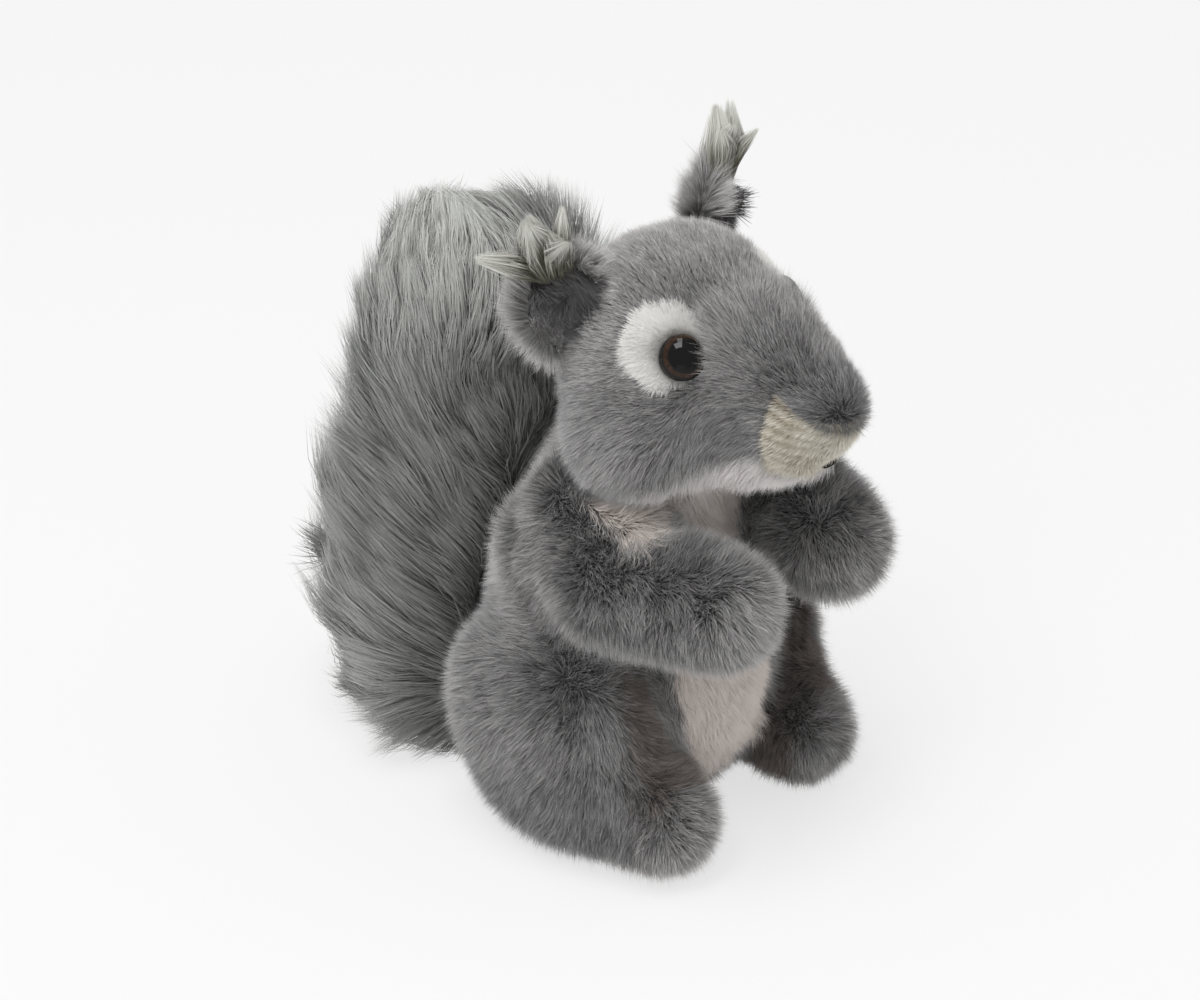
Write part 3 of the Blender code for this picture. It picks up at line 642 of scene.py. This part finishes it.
for hand, side in hands.items():
    earParts = [hand + "_ear", hand + "_ear_lining"]
    earSkin = skin(hand + "EarSkin", earParts, {hand + "_ear_lining": ear["liningDepth"]}, ear)
    # the backing's dark deep and ground colours are painted shade between the strands
    earSkin.data.materials.append(backingShadeFinish(hand + "EarBacking", dict(deep=(0.03, 0.03, 0.03), ground=(0.06, 0.06, 0.06)),
                                              [(hand + "_ear_lining", (0.02, 0.02, 0.021))]))
    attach(earSkin, "root")
    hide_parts(*earParts)
    low, high = (np.array(c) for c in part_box(hand + "_ear"))
    middle = (low + high) / 2
    lining = readMark(earSkin.data, hand + "_ear_lining")
    roots, outward = rootsOn(earSkin, ear["count"], ear["seed"] + side, np.where(lining > 0.5, 0.0, 1.0))
    edge = ramp(gapToMiddle(roots, low, high), *ear["rim"])
    inner = ramp(np.abs(roots[:, 0]), *ear["inner"])       # long hair on the inner rim
    front = (inner * (roots[:, 1] < middle[1]))[:, None]
    comb = unit(roots - middle) * ear["out"] + np.array(ear["lean"])
    comb = comb * (1 - front) + front * turned(ear["innerLean"], side)
    layPile(hand + "EarPile", roots, outward, comb, {**earPile, "seed": ear["seed"] + side},
            greyPile, tone=ear["tone"] + ear["rimPale"] * np.maximum(edge, inner),
            stretch=1 + ear["rimLonger"] * edge * (1 - inner) + ear["innerLonger"] * inner)
    darkFinish = pileFinish(hand + "LiningDark", {"from": 0.1, "to": 0.9,
                                                  "darkRoot": (0.010, 0.010, 0.011), "darkTip": (0.05, 0.048, 0.048),
                                                  "paleRoot": (0.03, 0.028, 0.028), "paleTip": (0.22, 0.215, 0.215)})
    roots, outward = rootsOn(earSkin, ear["liningCount"], ear["liningSeed"] + side, np.where(lining > 0.5, 1.0, 0.0))
    bottom = roots[:, 2] < ear["footTop"]  # the lining's lowest part is covered by pale pile
    layPile(hand + "EarFoot", roots[bottom], outward[bottom], turned(ear["footLean"], side),
            {**earFootPile, "seed": ear["footSeed"] + side}, greyPile, tone=ear["footTone"])
    layPile(hand + "LiningPile", roots[~bottom], outward[~bottom], turned(ear["liningLean"], side),
            {**liningPile, "seed": ear["liningSeed"] + side}, darkFinish)

    tuftSkin = skin(hand + "TuftSkin", [hand + "_ear_tuft"], {}, tuft)
    # the backing's dark deep and ground colours are painted shade between the tuft's strands
    tuftSkin.data.materials.append(backingShadeFinish(hand + "TuftBacking", dict(deep=(0.05, 0.05, 0.04), ground=(0.09, 0.09, 0.075))))
    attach(tuftSkin, "root")
    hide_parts(hand + "_ear_tuft")
    low, high = (np.array(c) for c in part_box(hand + "_ear_tuft"))
    base = np.array([(low[0] + high[0]) / 2 - tuft["outwards"] * side, (low[1] + high[1]) / 2, low[2]])
    core = base + (dots(tuftSkin.data, "co") - base) * tuft["core"]          # a small core, so that the locks stand free
    tuftSkin.data.vertices.foreach_set("co", core.ravel())

    tuftFinish = pileFinish(hand + "TuftPale", {"from": 0.1, "to": 0.85,
                                                "darkRoot": (0.085, 0.08, 0.05), "darkTip": (0.60, 0.60, 0.55),
                                                "paleRoot": (0.22, 0.215, 0.16), "paleTip": (0.90, 0.90, 0.86)})
    roots, outward = rootsOn(tuftSkin, tuft["count"], tuft["seed"] + side)
    foot = roots[:, 2] < low[2] + tuft["footHeight"]       # the tuft's foot goes under dark hair
    layPile(hand + "TuftFoot", roots[foot], outward[foot], turned(tuft["footLean"], side),
            {**tuftFootPile, "seed": tuft["footSeed"] + side}, darkFinish)
    roots, outward = roots[~foot], outward[~foot]
    fan = unit(roots - base) * np.array(tuft["fan"])
    fan[:, 0] *= np.where(fan[:, 0] * side > 0, 1.0, tuft["inward"])         # the locks fan outwards, not over the crown
    aim = unit(fan + turned(tuft["aim"], side))
    height = roots[:, 2]
    layPile(hand + "TuftPile", roots, aim, outward, {**tuftPile, "seed": tuft["seed"] + side}, tuftFinish,
            tone=np.clip(tuft["tone"] + tuft["toneRise"] * (height - low[2]) / tuft["toneHeight"], 0, tuft["palest"]),
            stretch=np.clip((high[2] - tuft["below"] - height) / tuftPile["length"], tuft["shortest"], 1))
print("ears done")

# eyes: the CAD domes, with a brown ring round a black pupil

eye = dict(turn=48, lift=21, pupil=0.0044, ring=0.0054, blur=0.0003)
around, up = radians(eye["turn"]), radians(eye["lift"])


def dress(name, finish):                   # a CAD node keeps its mesh and gets this finish
    nodes[name].data.materials.clear()
    nodes[name].data.materials.append(finish)


for hand, side in hands.items():
    axis = (side * sin(around) * cos(up), -cos(around) * cos(up), sin(up))
    middle = tuple(eyeCentre[hand])

    def eyePaint(wire):
        at = wire.node("ShaderNodeTexCoord", out="Object")
        arm = wire.node("ShaderNodeVectorMath", {"operation": "SUBTRACT"}, {0: at, 1: middle})
        along = wire.node("ShaderNodeVectorMath", {"operation": "DOT_PRODUCT"}, {0: arm, 1: axis}, out="Value")
        far = wire.node("ShaderNodeVectorMath", {"operation": "LENGTH"}, {0: arm}, out="Value")
        off = (far * far - along * along) ** 0.5
        grain = wire.node("ShaderNodeTexNoise", sockets={"Vector": at, "Scale": 900.0, "Detail": 2.0})
        brown = grain.between(0.3, 0.7).blend((0.018, 0.009, 0.005), (0.042, 0.021, 0.011))
        ringed = off.between(eye["pupil"] - eye["blur"], eye["pupil"] + eye["blur"]).blend((0.003, 0.003, 0.003), brown)
        rim = off.between(eye["ring"] - 0.0002, eye["ring"] + 0.0004)
        return {"Base Color": rim.blend(ringed, (0.006, 0.005, 0.004))}
    dress(hand + "_eye", finishOf(hand + "EyePlastic", eyePaint, **{"Roughness": 0.08, "Specular IOR Level": 0.22}))


def washerPaint(wire):
    at = wire.node("ShaderNodeTexCoord", out="Object")
    cloud = wire.node("ShaderNodeTexNoise", sockets={"Vector": at, "Scale": 300.0})
    return {"Base Color": cloud.blend((0.5, 0.5, 0.48), (0.6, 0.6, 0.58)), "Roughness": cloud * 0.2 + 0.35}


# a near-black thread: partly the mouth's own stitch, partly painted shade of the slit under the muzzle's fold
def threadAndSlitShadePaint(wire):
    at = wire.node("ShaderNodeTexCoord", out="Object")
    twist = wire.node("ShaderNodeTexWave", {"bands_direction": "DIAGONAL"}, {"Vector": at, "Scale": 900.0})
    bump = wire.node("ShaderNodeBump", sockets={"Strength": 0.6, "Distance": 0.0002, "Height": twist})
    return {"Base Color": twist.blend((0.012, 0.011, 0.010), (0.04, 0.037, 0.033)), "Normal": bump}


washerFinish = finishOf("washerPlastic", washerPaint)
for hand in hands:
    dress(hand + "_eye_washer", washerFinish)
dress("mouth_stitch", finishOf("mouthThreadAndSlitShade", threadAndSlitShadePaint))
print("eyes and mouth done")

# floor, backdrop and light

studio = dict(sky=0.60, key=8.5, side=2.5, fill=0.8, floor=(0.80, 0.80, 0.80), bright=0.7, aim=(0, 0.02, 0.08))
bm = bmesh.new()
bmesh.ops.create_grid(bm, x_segments=1, y_segments=1, size=3.0)
floor = newPiece("floor", bm)
ground = bpy.data.materials.new("paleFloor")
ground.use_nodes = True
ground.node_tree.nodes.clear()
wire = Wire(ground.node_tree)
seen = wire.node("ShaderNodeLightPath", out="Is Camera Ray")
matt = wire.node("ShaderNodeBsdfDiffuse", sockets={"Color": (*studio["floor"], 1.0)})
glow = wire.node("ShaderNodeEmission", sockets={"Color": (1, 1, 1, 1), "Strength": 1.0})
mixed = wire.node("ShaderNodeMixShader", sockets={0: seen * studio["bright"], 1: matt, 2: glow})
wire.node("ShaderNodeOutputMaterial", sockets={"Surface": mixed})
floor.data.materials.append(ground)

world = bpy.data.worlds.new("studio")
space.world = world
world.use_nodes = True
world.node_tree.nodes.clear()
wire = Wire(world.node_tree)
seen = wire.node("ShaderNodeLightPath", out="Is Camera Ray")
soft = wire.node("ShaderNodeBackground", sockets={"Color": (1, 1, 1, 1), "Strength": studio["sky"]})
white = wire.node("ShaderNodeBackground", sockets={"Color": (1, 1, 1, 1), "Strength": 1.0})
mixed = wire.node("ShaderNodeMixShader", sockets={0: seen, 1: soft, 2: white})
wire.node("ShaderNodeOutputWorld", sockets={"Surface": mixed})

for name, power, size, spot in [("keyLight", studio["key"], (0.35, 0.9), (-0.40, -0.05, 1.25)),
                                ("sideLight", studio["side"], (0.8, 0.8), (-1.1, -0.35, 0.45)),
                                ("fillLight", studio["fill"], (0.9, 0.9), (0.9, -0.7, 0.6))]:
    lamp = bpy.data.objects.new(name, bpy.data.lights.new(name, "AREA"))
    lamp.data.energy = power
    lamp.data.shape = "RECTANGLE"
    lamp.data.size, lamp.data.size_y = size
    lamp.location = spot
    lamp.rotation_euler = (Vector(spot) - Vector(studio["aim"])).to_track_quat("Z", "Y").to_euler()
    lamp.visible_glossy = name == "keyLight"          # one clear highlight in the eyes
    space.collection.objects.link(lamp)

space.view_settings.view_transform = "Standard"
print("studio set")

pieces = [piece for piece in space.objects if piece.type == "MESH"]
print("triangles in all", sum(len(face.vertices) - 2 for piece in pieces for face in piece.data.polygons))
